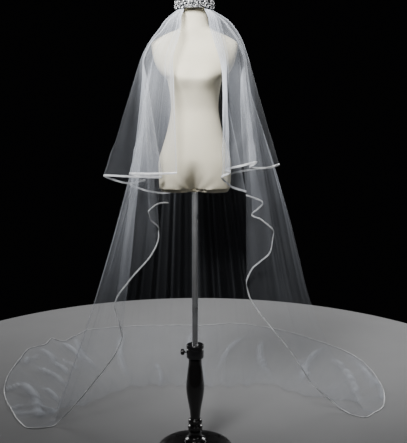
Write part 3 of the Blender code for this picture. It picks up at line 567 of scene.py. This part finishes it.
class Tier:
    """One tier of tulle: its fine grid, its outer normals and how much of the view it stops."""

    def __init__(self, net, rings, pleats, overlaps, fine, cloth):
        columns = columns_of(net)
        self.cloth = cloth
        self.across, down = fine
        self.grid = refined(refined(columns, self.across).swapaxes(0, 1), down).swapaxes(0, 1)
        self.columns, self.rows = self.grid.shape[:2]
        self.chest_row = (len(rings) - 1) * down
        self.order = np.linspace(0.0, 1.0, self.columns)[:, None]
        self.layers = self.count_layers(rings[-1], pleats, overlaps)
        self.add_gathers(rings, down)
        self.add_ripples()
        self.normals = normals_of(self.grid)

    def hem_run(self):
        """Distance along the hem at each column."""
        hem = np.linalg.norm(np.diff(self.grid[:, -1], axis=0), axis=-1)
        return np.concatenate(([0.0], np.cumsum(hem)))[:, None]

    def row_share(self):
        """0 at the chest and 1 at the hem, by the length down each column. Negative above the chest."""
        step = np.linalg.norm(np.diff(self.grid, axis=1), axis=-1)
        run = np.concatenate((np.zeros((self.columns, 1)), np.cumsum(step, axis=1)), axis=1)
        chest = run[:, self.chest_row:self.chest_row + 1]
        return np.clip((run - chest) / (run[:, -1:] - chest), 0.0, 1.0)

    def add_gathers(self, rings, down):
        """Fine gathers that start under the band and fade below the chest."""
        deep = np.array([ring.gather for ring in rings])
        place = np.arange(self.rows) / down
        depth = np.interp(place, np.arange(len(rings)), deep)
        fade = 1.0 - soft_step(self.row_share(), 0.0, 0.22)
        seed = self.cloth.seed
        wander = 0.9 * uneven_wave(self.order, (0.31, 0.17, 0.085), seed)
        wave = np.sin(2.0 * np.pi * (self.cloth.gathers * self.order + wander))
        wave = wave * (0.55 + 0.45 * uneven_wave(self.order, (0.12, 0.071, 0.033), seed + 1))
        self.grid = self.grid + normals_of(self.grid) * (wave * depth * fade)[..., None]

    def add_ripples(self):
        """Soft uneven ripples that grow towards the hem. On the floor they only rise."""
        seed, ripple = self.cloth.seed, self.cloth.ripple
        share = self.row_share()
        run = self.hem_run() + 0.06 * uneven_wave(share, (0.9, 0.5), seed + 2)
        wave = uneven_wave(run, self.cloth.lengths, seed + 3) * ripple * soft_step(share, 0.05, 0.9)
        standing = soft_step(self.grid[..., 2], 0.004, 0.16)
        self.grid = self.grid + normals_of(self.grid) * (wave * standing)[..., None]
        lying = 1.0 - soft_step(self.grid[..., 2], 0.03, 0.12)
        height, crest = crease_shape(self.grid[..., 0], self.grid[..., 1])
        lying = lying * soft_step(share, 0.3, 0.8)
        rise = height + 0.30 * (ripple + wave)
        self.grid[..., 2] = np.maximum(self.grid[..., 2] + lying * rise, 0.0)
        self.layers = self.layers * (1.0 + 4.0 * lying * crest)

    def count_layers(self, chest, pleats, overlaps):
        """How many layers of net each place holds, from its gathers, overlaps, folds and pleats."""
        step = np.diff(self.grid, axis=0)
        down = unit(np.gradient(self.grid, axis=1))[:-1]
        width = np.linalg.norm(np.cross(step, down), axis=-1)
        panels = width.reshape(-1, self.across, self.rows).sum(axis=1)
        gathered = self.cloth.width / len(panels) / np.maximum(smoothed(panels, 2), 1e-4)
        gathered = np.repeat(gathered, self.across, axis=0)
        gathered = smoothed(np.concatenate((gathered, gathered[-1:])), 3 * self.across)
        layers = np.maximum(gathered, 1.0) ** self.cloth.power

        point = self.grid[:, self.chest_row]
        bearing = np.arctan2(-point[:, 0] / chest.half_width, -point[:, 1] / chest.half_depth)
        bearing = np.degrees(bearing) % 360.0
        factors = np.interp(bearing, [o.bearing for o in overlaps], [o.factor for o in overlaps])
        share = self.row_share()
        layers = layers * mix(1.0, factors[:, None], mix(NECK_OVERLAP, 1.0, soft_step(share, 0.0, 0.12)))
        layers = layers * (1.0 + FLOOR_LAYERS * (1.0 - soft_step(self.grid[..., 2], 0.02, 0.15)))

        seed = self.cloth.seed
        turn = np.linalg.norm(np.diff(unit(step), axis=0), axis=-1)
        turn = np.concatenate((turn[:1], turn, turn[-1:]))
        length = np.linalg.norm(step, axis=-1)
        length = np.concatenate((length, length[-1:]))
        curve = FOLD_RADIUS * smoothed(turn, 1) / np.maximum(length, 1e-4)
        mood = np.maximum(0.1, 1.0 + 1.1 * uneven_wave(self.order, (0.13, 0.067, 0.037), seed + 4))
        layers = layers * (1.0 + self.cloth.crest * mood * np.clip(curve - 0.25, 0.0, 2.5) ** 1.4)

        for pleat in pleats:
            line = np.exp(-((self.order - pleat.order) / PLEAT_WIDTH) ** 2)
            fade = 1.0 - soft_step(share, 0.2 * pleat.reach, pleat.reach)
            layers = layers * (1.0 + line * pleat.strength * fade)
        streak = uneven_wave(self.hem_run() + 0.03 * share, (0.107, 0.223, 0.470), seed + 5)
        return np.minimum(layers * (1.0 + 0.40 * streak), MOST_LAYERS)

    def sheet(self, name):
        """The tier's cloth, one layer in the middle of its wall."""
        points = self.grid + self.normals * (0.5 * CLOTH)
        points[..., 2] = np.maximum(points[..., 2], 0.5 * CLOTH)
        cloth = grid_object(name, points)
        cover = 1.0 - (1.0 - self.cloth.single) ** self.layers
        layer = cloth.data.attributes.new("net_cover", "FLOAT", "POINT")
        layer.data.foreach_set("value", cover.reshape(-1).astype(np.float32))
        return cloth

    def ribbon(self, name, width):
        """The satin ribbon on the outer side of the hem, a thin closed strip with a soft crown."""
        hem = self.grid[:, -1]
        normal = unit(smoothed(self.normals[:, -2], 2))
        along = unit(np.gradient(hem, axis=0))
        inward = unit(np.cross(along, normal))
        toward = self.grid[:, -3] - hem
        inward *= np.where((inward * toward).sum(axis=-1, keepdims=True) < 0.0, -1.0, 1.0)
        shares = np.linspace(0.0, 1.0, 6)
        crown = 0.0015 + 0.0009 * np.sin(np.pi * np.clip(shares, 0.06, 0.94)) ** 0.6
        crown[0] = crown[-1] = 0.0015
        outer = [hem + inward * width * s + normal * (h + 0.0004) for s, h in zip(shares, crown)]
        inner = [hem + inward * width * s + normal * 0.0012 for s in shares[::-1]]
        loop = np.array(outer + inner)
        loop[..., 2] = np.maximum(loop[..., 2], 0.0012)
        return tube_object(name, loop)


def mesh_object(name, points, faces, sharp=None):
    """A smooth-shaded object from points and faces."""
    mesh = bpy.data.meshes.new(name)
    mesh.from_pydata(np.asarray(points).reshape(-1, 3).tolist(), [], faces)
    mesh.validate()
    mesh.shade_smooth()
    if sharp is not None:
        mesh.set_sharp_from_angle(angle=math.radians(sharp))
    thing = bpy.data.objects.new(name, mesh)
    bpy.context.scene.collection.objects.link(thing)
    return thing


def grid_object(name, grid):
    """An open sheet through a grid of points."""
    index = np.arange(grid.shape[0] * grid.shape[1]).reshape(grid.shape[:2])
    faces = np.stack((index[:-1, :-1], index[1:, :-1], index[1:, 1:], index[:-1, 1:]), axis=-1)
    return mesh_object(name, grid, faces.reshape(-1, 4).tolist())


def tube_object(name, loops, sharp=40.0):
    """A closed strip: loops is its outline, point by place along it, closed with a face at each end."""
    around, places = loops.shape[:2]
    index = np.arange(around * places).reshape(around, places)
    turned = np.roll(index, -1, axis=0)
    faces = np.stack((index[:, :-1], index[:, 1:], turned[:, 1:], turned[:, :-1]), axis=-1)
    faces = faces.reshape(-1, 4).tolist()
    faces.append(index[:, 0].tolist())
    faces.append(index[::-1, -1].tolist())
    return mesh_object(name, loops, faces, sharp)


def lofted(name, loops, sharp=35.0):
    """A closed solid through loops of equal length, top to bottom, with a fan at each end."""
    loops = np.asarray(loops)
    levels, around = loops.shape[:2]
    index = np.arange(levels * around).reshape(levels, around)
    turned = np.roll(index, -1, axis=1)
    faces = np.stack((index[:-1], index[1:], turned[1:], turned[:-1]), axis=-1).reshape(-1, 4).tolist()
    points = loops.reshape(-1, 3).tolist()
    for row, ring in ((0, loops[0]), (levels - 1, loops[-1])):
        points.append(ring.mean(axis=0).tolist())
        middle = len(points) - 1
        for a, b in zip(index[row].tolist(), turned[row].tolist()):
            faces.append((a, b, middle) if row == 0 else (b, a, middle))
    return mesh_object(name, np.array(points), faces, sharp)


def turned_object(name, turns, fine, sharp=35.0):
    """A turned solid from a profile that runs top to bottom."""
    profile = refined(np.array([(turn.radius, turn.z) for turn in turns]), fine)
    angles = 2.0 * np.pi * np.arange(ROUND_SIDES) / ROUND_SIDES
    loops = [np.stack((r * np.cos(angles), r * np.sin(angles), np.full_like(angles, z)), axis=-1)
             for r, z in profile]
    return lofted(name, loops, sharp)


def build_form():
    """The jersey-covered dress form, neck to thigh stubs, with a soft lower edge."""
    rows = np.array([(s.z, s.half_width, s.front, s.back, s.cleft) for s in FORM_SECTIONS])
    rows = refined(rows, 7)
    low = rows[rows[:, 0] < FORM_BOTTOM + 0.02][-1]
    rows = rows[rows[:, 0] > FORM_BOTTOM + FORM_ROUND + 0.002]
    angles = 2.0 * np.pi * np.arange(FORM_SIDES) / FORM_SIDES
    loops = []

    def loop_at(z, half_width, front, back, cleft):
        x = half_width * np.sin(angles)
        depth = np.where(np.cos(angles) > 0.0, front, back)
        pinch = 1.0 - cleft * np.exp(-(x / CLEFT_WIDTH) ** 2)
        return np.stack((x, -depth * np.cos(angles) * pinch, np.full_like(x, z)), axis=-1)

    for row in rows:
        loops.append(loop_at(*row))
    for angle in np.radians((0, 20, 40, 60, 75, 90)):
        loop = loop_at(FORM_BOTTOM + FORM_ROUND * (1.0 - math.sin(angle)), *low[1:])
        edge = np.roll(loop, -1, axis=0) - np.roll(loop, 1, axis=0)
        out = unit(np.stack((edge[:, 1], -edge[:, 0], np.zeros(FORM_SIDES)), axis=-1))
        loops.append(loop - out * FORM_ROUND * (1.0 - math.cos(angle)))
    loops = np.array(loops)
    side, height, spread, amount = 0.052, 1.562, 0.040, 0.016
    front = loops[..., 1] < 0.0
    for middle in (-side, side):
        away = ((loops[..., 0] - middle) ** 2 + (loops[..., 2] - height) ** 2) / spread ** 2
        loops[..., 1] -= np.where(front, amount * np.exp(-away), 0.0)
    above = loops[..., 2] - FORM_BOTTOM
    round_cleft = np.arctan2(loops[..., 0], above + 0.012)
    near = np.exp(-((loops[..., 0] / 0.075) ** 2 + (above / 0.060) ** 2))
    crease = 0.0050 * near * np.cos(13.0 * round_cleft + 0.8)
    loops[..., 1] += np.where(loops[..., 1] < 0.0, crease + 0.016 * near, -crease)
    return lofted("form_jersey", loops, 60.0)


def band_place(bearing, z, out):
    """A point on the band's oval at a bearing, out from its inner wall, and its outward direction."""
    angle = math.radians(bearing)
    normal = np.array((-math.sin(angle) * BAND_HALF_DEPTH, -math.cos(angle) * BAND_HALF_WIDTH, 0.0))
    normal = unit(normal)
    point = np.array((-BAND_HALF_WIDTH * math.sin(angle), -BAND_HALF_DEPTH * math.cos(angle), z))
    return point + normal * out, normal


def build_band_wall():
    """The band's backing, an oval wall with rounded edges."""
    section = ((0.0, 0.0), (0.06, 0.7), (0.16, 1.0), (0.84, 1.0), (0.94, 0.7), (1.0, 0.0))
    count = 120
    loops = []
    for share, out in section:
        z = mix(BAND_BOTTOM + 0.001, BAND_TOP - 0.001, share)
        loops.append([band_place(360.0 * k / count, z, BAND_WALL * out)[0] for k in range(count)])
    index = np.arange(len(section) * count).reshape(len(section), count)
    turned = np.roll(index, -1, axis=1)
    below = np.roll(index, -1, axis=0)
    corner = np.roll(turned, -1, axis=0)
    faces = np.stack((index, turned, corner, below), axis=-1).reshape(-1, 4).tolist()
    return mesh_object("band_wall", np.array(loops), faces, 50.0)


def add_stone(points, faces, middle, out, radius, height, spin):
    """A faceted round stone: a table, eight crown facets and eight lower ones."""
    side = unit(np.cross(np.array((0.0, 0.0, 1.0)), out))
    up = np.cross(out, side)
    first = len(points)
    for share, lift, turn in ((0.52, height, 0.5), (1.0, 0.35 * height, 0.0), (0.78, -0.30 * height, 0.5)):
        for k in range(8):
            angle = 2.0 * math.pi * (k + turn) / 8 + spin
            points.append(middle + out * lift + radius * share * (side * math.cos(angle) + up * math.sin(angle)))
    for k in range(8):
        n = (k + 1) % 8
        faces.append((first + k, first + 8 + n, first + n))
        faces.append((first + k, first + 8 + k, first + 8 + n))
        faces.append((first + 8 + k, first + 16 + k, first + 8 + n))
        faces.append((first + 8 + n, first + 16 + k, first + 16 + n))
    faces.append(tuple(first + k for k in range(8)))
    faces.append(tuple(first + 16 + k for k in reversed(range(8))))


def build_stones():
    """Stones of three sizes set close together in uneven rows round the band."""
    source = np.random.RandomState(21)
    points, faces = [], []
    rows = (
        (0.10, 74, 0.0026), (0.29, 60, 0.0036), (0.52, 62, 0.0040), (0.74, 60, 0.0035), (0.92, 74, 0.0026),
        (0.40, 62, 0.0016), (0.64, 62, 0.0016), (0.18, 62, 0.0014), (0.84, 62, 0.0014),
    )
    for row, (share, count, radius) in enumerate(rows):
        for k in range(count):
            bearing = 360.0 * (k + 0.5 * (row % 2) + 0.18 * (source.rand() - 0.5)) / count
            z = mix(BAND_BOTTOM, BAND_TOP, share) + 0.0012 * (source.rand() - 0.5)
            size = radius * (0.88 + 0.24 * source.rand())
            middle, out = band_place(bearing, z, BAND_WALL + 0.25 * size)
            tilt = 0.80 * (source.rand(3) - 0.5)
            add_stone(points, faces, middle, unit(out + tilt), size, 0.62 * size, source.rand() * math.pi)
    return mesh_object("band_stones", np.array(points), faces, 5.0)


def build_knob():
    """The height knob on the viewer's left of the socket: a shank and a lobed grip."""
    profile = ((0.0, 0.0040), (KNOB_SHANK, 0.0042), (KNOB_SHANK + 0.0004, 0.75 * KNOB_RADIUS),
               (KNOB_SHANK + 0.25 * KNOB_LENGTH, KNOB_RADIUS), (KNOB_SHANK + 0.75 * KNOB_LENGTH, KNOB_RADIUS),
               (KNOB_SHANK + 0.94 * KNOB_LENGTH, 0.88 * KNOB_RADIUS), (KNOB_SHANK + KNOB_LENGTH, 0.62 * KNOB_RADIUS))
    profile = refined(np.array(profile), 4)
    angles = 2.0 * np.pi * np.arange(ROUND_SIDES) / ROUND_SIDES
    start = -SOCKET_RADIUS - GAP
    loops = []
    for reach, radius in profile:
        lobes = 0.07 * soft_step(radius, 0.006, KNOB_RADIUS) * (0.5 + 0.5 * np.cos(12 * angles))
        r = radius * (1.0 - lobes)
        loops.append(np.stack((np.full_like(angles, start - reach), r * np.cos(angles),
                               KNOB_Z + r * np.sin(angles)), axis=-1))
    return lofted("knob_grip", loops, 40.0)


class Finish:
    """A material with one Principled shader and helpers for the textures that drive it."""

    def __init__(self, name, colour, roughness, metallic=0.0, **constants):
        self.material = bpy.data.materials.new(name)
        self.material.use_nodes = True
        self.tree = self.material.node_tree
        self.shader = self.tree.nodes["Principled BSDF"]
        self.set("Base Color", (*colour, 1.0))
        self.set("Roughness", roughness)
        self.set("Metallic", metallic)
        for socket, value in constants.items():
            self.set(socket.replace("_", " "), value)
        self.place = self.tree.nodes.new("ShaderNodeTexCoord").outputs["Object"]

    def set(self, socket, value):
        self.shader.inputs[socket].default_value = value

    def link(self, output, target):
        self.tree.links.new(output, target)
        return output

    def noise(self, scale, detail=3.0, stretch=(1.0, 1.0, 1.0)):
        """A noise texture in metres, stretched along the axes."""
        mapping = self.tree.nodes.new("ShaderNodeMapping")
        mapping.inputs["Scale"].default_value = stretch
        self.link(self.place, mapping.inputs["Vector"])
        node = self.tree.nodes.new("ShaderNodeTexNoise")
        node.inputs["Scale"].default_value = scale
        node.inputs["Detail"].default_value = detail
        self.link(mapping.outputs["Vector"], node.inputs["Vector"])
        return node.outputs["Fac"]

    def cells(self, scale):
        """Distance to the nearest thread of a net with cells of one over scale metres."""
        node = self.tree.nodes.new("ShaderNodeTexVoronoi")
        node.feature = "DISTANCE_TO_EDGE"
        node.inputs["Scale"].default_value = scale
        self.link(self.place, node.inputs["Vector"])
        return node.outputs["Distance"]

    def spread(self, value, low, high, start=0.3, end=0.7):
        """Map a texture's value from start and end to low and high."""
        node = self.tree.nodes.new("ShaderNodeMapRange")
        node.inputs["From Min"].default_value = start
        node.inputs["From Max"].default_value = end
        node.inputs["To Min"].default_value = low
        node.inputs["To Max"].default_value = high
        self.link(value, node.inputs["Value"])
        return node.outputs["Result"]

    def maths(self, kind, a, b):
        node = self.tree.nodes.new("ShaderNodeMath")
        node.operation = kind
        for socket, value in zip(node.inputs, (a, b)):
            if isinstance(value, float):
                socket.default_value = value
            else:
                self.link(value, socket)
        return node.outputs["Value"]

    def tint(self, value, dark, light):
        """Drive the colour between two tints."""
        node = self.tree.nodes.new("ShaderNodeMix")
        node.data_type = "RGBA"
        node.inputs["A"].default_value = (*dark, 1.0)
        node.inputs["B"].default_value = (*light, 1.0)
        colours = [socket for socket in node.inputs if socket.type == "RGBA"]
        colours[0].default_value = (*dark, 1.0)
        colours[1].default_value = (*light, 1.0)
        self.link(value, node.inputs["Factor"])
        result = [socket for socket in node.outputs if socket.type == "RGBA"][0]
        self.link(result, self.shader.inputs["Base Color"])

    def drive(self, value, socket):
        self.link(value, self.shader.inputs[socket])

    def bump(self, value, strength, distance):
        node = self.tree.nodes.new("ShaderNodeBump")
        node.inputs["Strength"].default_value = strength
        node.inputs["Distance"].default_value = distance
        self.link(value, node.inputs["Height"])
        self.link(node.outputs["Normal"], self.shader.inputs["Normal"])

    def on(self, *things):
        for thing in things:
            thing.data.materials.clear()
            thing.data.materials.append(self.material)


def tulle_finish(name):
    """Fine sheer net: its density comes from the gathering, broken up by the net's cells."""
    finish = Finish(name, (0.585, 0.615, 0.68), 0.70, Sheen_Weight=0.4, Sheen_Roughness=0.35,
                    Specular_IOR_Level=0.35)
    finish.set("Sheen Tint", (0.94, 0.96, 1.0, 1.0))
    density = finish.tree.nodes.new("ShaderNodeAttribute")
    density.attribute_name = "net_cover"
    net = finish.spread(finish.cells(640.0), 1.30, 0.82, 0.05, 0.35)
    cloud = finish.spread(finish.noise(5.0, 2.0, (1.0, 1.0, 0.35)), 0.86, 1.14)
    alpha = finish.maths("MULTIPLY", finish.maths("MULTIPLY", density.outputs["Fac"], net), cloud)
    finish.drive(finish.maths("MINIMUM", alpha, 0.97), "Alpha")
    finish.tint(finish.spread(finish.noise(9.0, 2.0), 0.0, 1.0), (0.55, 0.583, 0.65), (0.62, 0.65, 0.71))
    return finish


def satin_finish(name):
    """White satin ribbon with a fine weft, a soft gloss, and highlights and shade painted into its colour."""
    finish = Finish(name, (0.95, 0.955, 0.97), 0.30, Sheen_Weight=0.25, Specular_IOR_Level=0.6)
    finish.drive(finish.spread(finish.noise(60.0, 2.0), 0.24, 0.40), "Roughness")
    # Colour drifts at random from a darker to a lighter white: painted highlights and painted shade standing in for
    # the satin catching the light in places.
    finish.tint(finish.spread(finish.noise(25.0, 2.0), 0.0, 1.0), (0.46, 0.47, 0.49), (0.86, 0.865, 0.88))
    finish.bump(finish.noise(1800.0, 1.0), 0.15, 0.0003)
    return finish


def jersey_finish():
    """Cream stretch jersey, matt, with a fine knit and faint shading."""
    finish = Finish("cream_jersey_knit", (0.71, 0.66, 0.515), 0.88, Sheen_Weight=0.12, Sheen_Roughness=0.5,
                    Specular_IOR_Level=0.25)
    finish.tint(finish.spread(finish.noise(7.0, 4.0), 0.0, 1.0), (0.68, 0.63, 0.485), (0.74, 0.69, 0.545))
    finish.bump(finish.noise(1100.0, 2.0, (1.0, 1.0, 0.35)), 0.25, 0.0004)
    return finish


def gloss_finish(name, colour, low, high, **constants):
    """A smooth hard surface whose gloss varies a little."""
    finish = Finish(name, colour, low, **constants)
    finish.drive(finish.spread(finish.noise(28.0, 4.0), low, high), "Roughness")
    return finish


def add_area_light(name, place, aim, size, power, spread=180.0):
    """A soft square light that looks at a point, its beam spread over an angle."""
    lamp = bpy.data.lights.new(name, "AREA")
    lamp.size = size
    lamp.energy = power
    lamp.spread = math.radians(spread)
    thing = bpy.data.objects.new(name, lamp)
    bpy.context.scene.collection.objects.link(thing)
    thing.location = place
    away = unit(np.array(aim) - np.array(place))
    yaw = math.atan2(away[0], away[1])
    thing.rotation_euler = (math.acos(-away[2]), 0.0, -yaw)
    thing.visible_camera = False
    return thing


def add_stage():
    """A pale round floor, a dark surround, soft lights and the camera."""
    angles = 2.0 * np.pi * np.arange(160) / 160
    rims = []
    for radius, z in ((1.80, -0.0002), (1.82, -0.004), (1.82, -0.03)):
        rims.append(np.stack((radius * np.cos(angles), 0.72 + radius * np.sin(angles), np.full_like(angles, z)),
                             axis=-1))
    floor = lofted("floor", rims, 30.0)
    paint = Finish("floor_paint", (0.33, 0.33, 0.335), 0.80, Specular_IOR_Level=0.2)
    paint.tint(paint.spread(paint.noise(3.0, 3.0), 0.0, 1.0), (0.32, 0.32, 0.325), (0.34, 0.34, 0.345))
    paint.on(floor)

    world = bpy.data.worlds.new("surround")
    world.use_nodes = True
    world.node_tree.nodes["Background"].inputs["Color"].default_value = (0.0015, 0.0015, 0.0017, 1.0)
    bpy.context.scene.world = world

    add_area_light("key", (-0.7, -1.8, 3.0), (0.0, 0.0, 1.80), 0.9, 20.0, 52.0)
    add_area_light("fill", (2.0, -2.2, 1.9), (0.0, 0.1, 1.2), 1.4, 7.0)
    add_area_light("back_left", (-2.6, 3.0, 2.2), (0.0, 0.5, 0.9), 1.6, 52.0)
    add_area_light("back_right", (2.6, 3.2, 2.2), (0.0, 0.5, 0.9), 1.6, 52.0)

    lens = bpy.data.cameras.new("camera")
    lens.sensor_width = 36.0
    lens.lens = CAMERA_LENS
    camera = bpy.data.objects.new("camera", lens)
    bpy.context.scene.collection.objects.link(camera)
    camera.location = CAMERA_PLACE
    camera.rotation_euler = (math.radians(90.0 - CAMERA_TILT), 0.0, 0.0)
    bpy.context.scene.camera = camera


def dress(thing, slot, *nodes):
    """Let a piece ride on the one body and stand for its solids. slot is not used."""
    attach(thing, "root")
    if nodes:
        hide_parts(*nodes)
    return thing


def add_veil():
    """Both tiers and their ribbons."""
    upper = Tier(upper_net(), UPPER_RINGS, UPPER_PLEATS, UPPER_OVERLAPS, UPPER_FINE, UPPER_CLOTH)
    lower = Tier(lower_net(), LOWER_RINGS, LOWER_PLEATS, LOWER_OVERLAPS, LOWER_FINE, LOWER_CLOTH)
    upper_cloth = dress(upper.sheet("upper_tulle"), "upper_tulle", "upper_tier")
    lower_cloth = dress(lower.sheet("lower_tulle"), "lower_tulle", "lower_tier")
    upper_edge = dress(upper.ribbon("upper_satin", RIBBON_WIDTH), "upper_satin", "upper_ribbon")
    lower_edge = dress(lower.ribbon("lower_satin", TRAIN_RIBBON_WIDTH), "lower_satin", "lower_ribbon")
    tulle_finish("upper_net").on(upper_cloth)
    tulle_finish("lower_net").on(lower_cloth)
    satin_finish("upper_ribbon_satin").on(upper_edge)
    satin_finish("lower_ribbon_satin").on(lower_edge)


def add_band():
    """The crystal band: its backing and its stones."""
    wall = dress(build_band_wall(), "crystals", "crystal_band")
    stones = dress(build_stones(), "crystals")
    # The backing's dark grey is painted shade standing in for the shadow in the gaps between the stones.
    gloss_finish("band_backing_painted_shade", (0.10, 0.10, 0.105), 0.30, 0.45, metallic=0.6).on(wall)
    # Each stone is painted near black or near white at random: white ones are painted glints of facets catching a
    # lamp, black ones painted reflections of the dark surround.
    stone = gloss_finish("cut_stone_painted_sparkle", (0.92, 0.94, 0.98), 0.06, 0.20, metallic=0.35)
    stone.tint(stone.spread(stone.noise(150.0, 1.0), 0.0, 1.0, 0.505, 0.56), (0.02, 0.022, 0.026), (0.99, 0.99, 1.0))
    stone.on(stones)


def add_stand():
    """The form, its pole and the turned stand."""
    jersey_finish().on(dress(build_form(), "cream_jersey", "dress_form"))
    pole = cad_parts["pole"]
    gloss_finish("polished_chrome", (0.80, 0.81, 0.83), 0.26, 0.36, metallic=0.9).on(pole)
    socket = dress(turned_object("socket_collar", SOCKET_TURNS, 2, 25.0), "black_socket", "pole_socket")
    gloss_finish("socket_gloss", (0.014, 0.014, 0.015), 0.16, 0.28, Coat_Weight=0.4).on(socket)
    knob = dress(build_knob(), "black_knob", "height_knob")
    gloss_finish("knob_gloss", (0.014, 0.014, 0.015), 0.14, 0.24, Coat_Weight=0.4).on(knob)
    column = dress(turned_object("turned_column", COLUMN_TURNS, 6), "black_gloss_wood", "column")
    gloss_finish("column_lacquer", (0.012, 0.011, 0.011), 0.14, 0.24, Coat_Weight=0.5).on(column)
    base = dress(turned_object("round_base", BASE_TURNS, 6), "black_base", "base")
    gloss_finish("base_paint", (0.014, 0.013, 0.013), 0.24, 0.38, Coat_Weight=0.2).on(base)


add_stage()
add_veil()
add_band()
add_stand()

bpy.context.scene.cycles.transparent_max_bounces = 32
